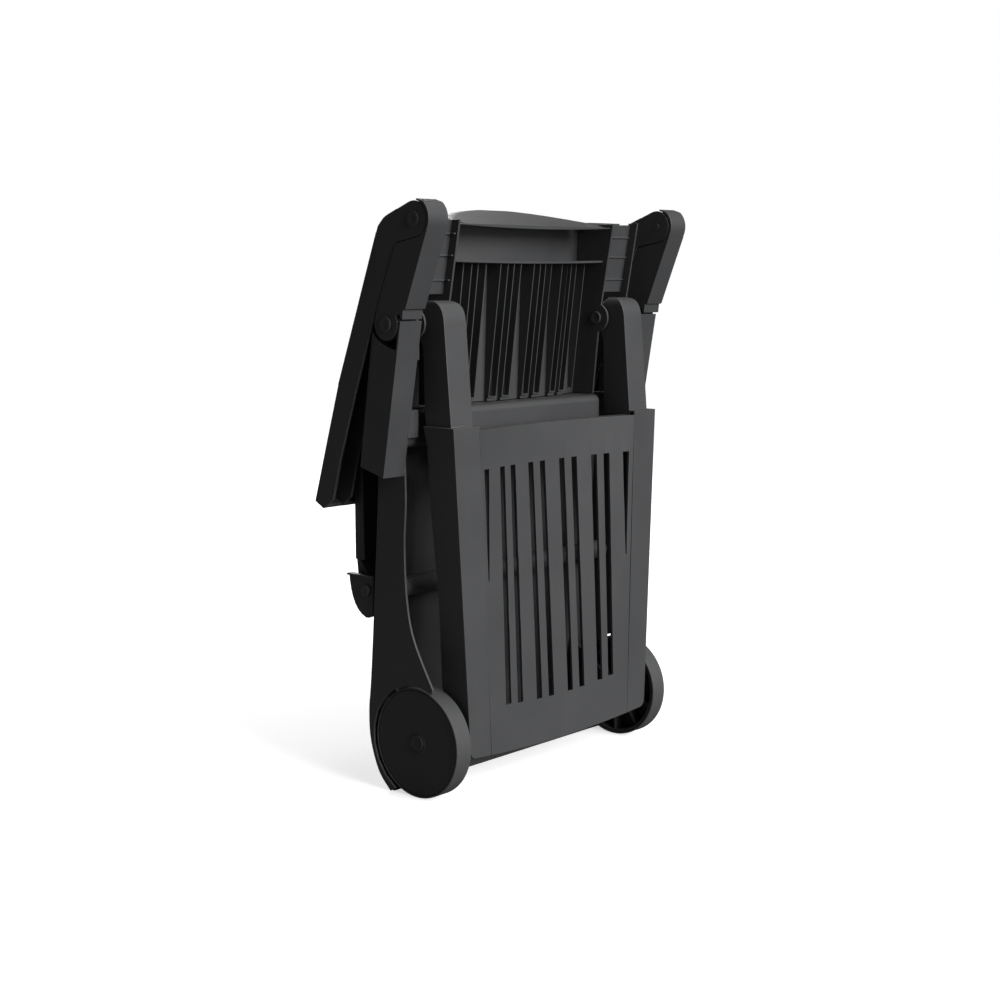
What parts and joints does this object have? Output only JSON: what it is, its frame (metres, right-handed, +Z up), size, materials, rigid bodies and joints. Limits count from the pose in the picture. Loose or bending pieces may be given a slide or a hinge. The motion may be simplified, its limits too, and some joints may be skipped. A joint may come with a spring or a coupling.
{
  "type": "folding shopping trolley",
  "caption": "Folded moulded trolley with slotted front panel, fold-down top tray on swinging links, rear load shelf, carry grip and two plain wheels.",
  "frame": {"origin": "on the floor, at the middle of the folded trolley's footprint", "axes": "+X to the trolley's right seen from its back, +Y towards its back, +Z up"},
  "size_m": [0.55, 0.222, 0.7879],
  "materials": {
    "plastic": "fine satin grain",
    "tread": "finely ribbed, matt",
    "steel": "drawn bar"
  },
  "bodies": {
    "rear_frame": {"leg_cheek_left": "plastic", "leg_cheek_right": "plastic", "rear_panel": "plastic", "upright_left": "plastic", "upright_right": "plastic", "upper_crossbeam": "plastic", "lower_crossbar": "plastic", "upper_panel": "plastic", "carry_grip": "plastic", "axle": "steel", "axle_bracket_left": "plastic", "axle_bracket_right": "plastic", "shelf_bracket_left": "plastic", "shelf_bracket_right": "plastic", "shelf_pin_left": "plastic", "shelf_pin_right": "plastic", "main_pivot_pin_left": "plastic", "main_pivot_pin_right": "plastic"},
    "front_panel": {"slat_insert": "plastic", "side_frame_left": "plastic", "side_frame_right": "plastic"},
    "links": {"link_left": "plastic", "link_right": "plastic", "tray_pivot_pin_left": "plastic", "tray_pivot_pin_right": "plastic"},
    "top_tray": {"top_tray": "plastic"},
    "load_shelf": {"load_shelf": "plastic"},
    "wheel_left": {"tyre_left": "tread", "wheel_disc_left": "plastic", "hub_cap_left": "plastic"},
    "wheel_right": {"tyre_right": "tread", "wheel_disc_right": "plastic", "hub_cap_right": "plastic"}
  },
  "joints": [
    {"name": "front_panel_hinge", "type": "hinge", "parent": "rear_frame", "child": "front_panel", "pos_m": [0, -0.027, 0.632], "axis": [1, 0, 0], "range_deg": [-35, 0]},
    {"name": "link_hinge", "type": "hinge", "parent": "rear_frame", "child": "links", "pos_m": [0, -0.027, 0.632], "axis": [1, 0, 0], "range_deg": [0, 18]},
    {"name": "tray_hinge", "type": "hinge", "parent": "links", "child": "top_tray", "pos_m": [0, -0.076, 0.763], "axis": [1, 0, 0], "range_deg": [0, 35]},
    {"name": "shelf_hinge", "type": "hinge", "parent": "rear_frame", "child": "load_shelf", "pos_m": [0, 0.058, 0.271], "axis": [1, 0, 0], "range_deg": [-90, 0]},
    {"name": "wheel_left_spin", "type": "hinge", "parent": "rear_frame", "child": "wheel_left", "pos_m": [0, -0.036, 0.075], "axis": [1, 0, 0], "continuous": true},
    {"name": "wheel_right_spin", "type": "hinge", "parent": "rear_frame", "child": "wheel_right", "pos_m": [0, -0.036, 0.075], "axis": [1, 0, 0], "continuous": true}
  ],
  "couplings": [
    {"joint": "link_hinge", "follows": "tray_hinge", "ratio": 0.514},
    {"joint": "shelf_hinge", "follows": "tray_hinge", "ratio": -2.57}
  ]
}
